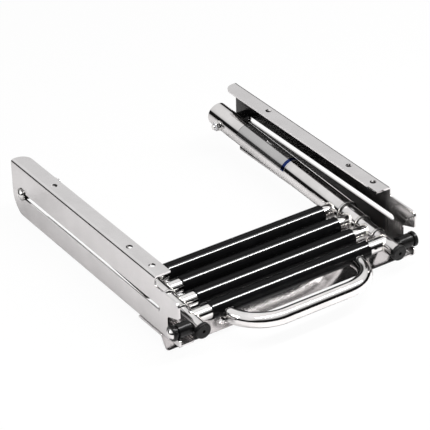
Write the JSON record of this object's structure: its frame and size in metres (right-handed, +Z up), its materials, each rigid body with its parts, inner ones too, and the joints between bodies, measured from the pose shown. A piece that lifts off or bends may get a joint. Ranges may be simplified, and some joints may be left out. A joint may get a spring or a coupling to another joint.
{
  "type": "boat boarding ladder",
  "caption": "Slide-in telescoping boarding ladder of polished tube with clip-on treads and a grab handle, stowed between two bent under-platform rails.",
  "frame": {"origin": "centre of the rectangle of the four outer platform bolt holes, on the plane of the rail flange tops", "axes": "+Z up, out of the flange tops towards the platform; +Y to the rear of the rails, so the ladder pulls out along -Y; +X to the right seen from the front"},
  "size_m": [0.4378, 0.5182, 0.1124],
  "materials": {
    "rail_steel": "polished sheet",
    "plate_steel": "polished sheet",
    "stile_steel": "mirror-polished tube",
    "rung_steel": "mirror-polished tube",
    "handle_steel": "mirror-polished tube",
    "fastener_steel": "polished",
    "nylon": "satin",
    "tread_plastic": "glossy, finely ribbed",
    "plug_rubber": "satin",
    "roller_rubber": "satin",
    "label": "plain printed film"
  },
  "bodies": {
    "rails": {"left_rail": "rail_steel", "right_rail": "rail_steel", "stop_plate": "plate_steel"},
    "pivot_carriage": {"pivot_bolts": "fastener_steel", "pivot_washers": "fastener_steel", "pivot_spacers": "nylon", "pivot_inner_washers": "fastener_steel", "pivot_nuts": "fastener_steel"},
    "top_section": {"stile_1_left": "stile_steel", "stile_1_right": "stile_steel", "end_bush_1_left": "nylon", "end_bush_1_right": "nylon", "rung_1": "rung_steel", "tread_1": "tread_plastic", "label_band": "label"},
    "second_section": {"stile_2_left": "stile_steel", "stile_2_right": "stile_steel", "end_bush_2_left": "nylon", "end_bush_2_right": "nylon", "rear_guide_2_left": "nylon", "rear_guide_2_right": "nylon", "rung_2": "rung_steel", "tread_2": "tread_plastic"},
    "third_section": {"stile_3_left": "stile_steel", "stile_3_right": "stile_steel", "end_bush_3_left": "nylon", "end_bush_3_right": "nylon", "rear_guide_3_left": "nylon", "rear_guide_3_right": "nylon", "rung_3": "rung_steel", "tread_3": "tread_plastic"},
    "bottom_section": {"stile_4_left": "stile_steel", "stile_4_right": "stile_steel", "rear_guide_4_left": "nylon", "rear_guide_4_right": "nylon", "foot_plug_left": "plug_rubber", "foot_plug_right": "plug_rubber", "rung_4": "rung_steel", "tread_4": "tread_plastic", "grab_handle": "handle_steel", "stow_bolts": "fastener_steel", "stow_washers": "roller_rubber", "stow_inserts": "fastener_steel"},
    "left_roller": {"stow_roller_left": "roller_rubber"},
    "right_roller": {"stow_roller_right": "roller_rubber"}
  },
  "joints": [
    {"name": "pull_out", "type": "slide", "parent": "rails", "child": "pivot_carriage", "axis": [0, -1, 0], "range_m": [0, 0.381]},
    {"name": "front_lift", "type": "hinge", "parent": "pivot_carriage", "child": "top_section", "pos_m": [0, 0.2138, -0.0485], "axis": [-1, 0, 0], "range_deg": [0, 1.2]},
    {"name": "extend_second", "type": "slide", "parent": "top_section", "child": "second_section", "axis": [0, -0.999, -0.0448], "range_m": [0, 0.2424]},
    {"name": "extend_third", "type": "slide", "parent": "second_section", "child": "third_section", "axis": [0, -0.999, -0.0448], "range_m": [0, 0.2424]},
    {"name": "extend_bottom", "type": "slide", "parent": "third_section", "child": "bottom_section", "axis": [0, -0.999, -0.0448], "range_m": [0, 0.2424]},
    {"name": "left_roller_spin", "type": "hinge", "parent": "bottom_section", "child": "left_roller", "pos_m": [-0.196, -0.2092, -0.06749], "axis": [1, 0, 0], "continuous": true},
    {"name": "right_roller_spin", "type": "hinge", "parent": "bottom_section", "child": "right_roller", "pos_m": [0.196, -0.2092, -0.06749], "axis": [1, 0, 0], "continuous": true}
  ]
}
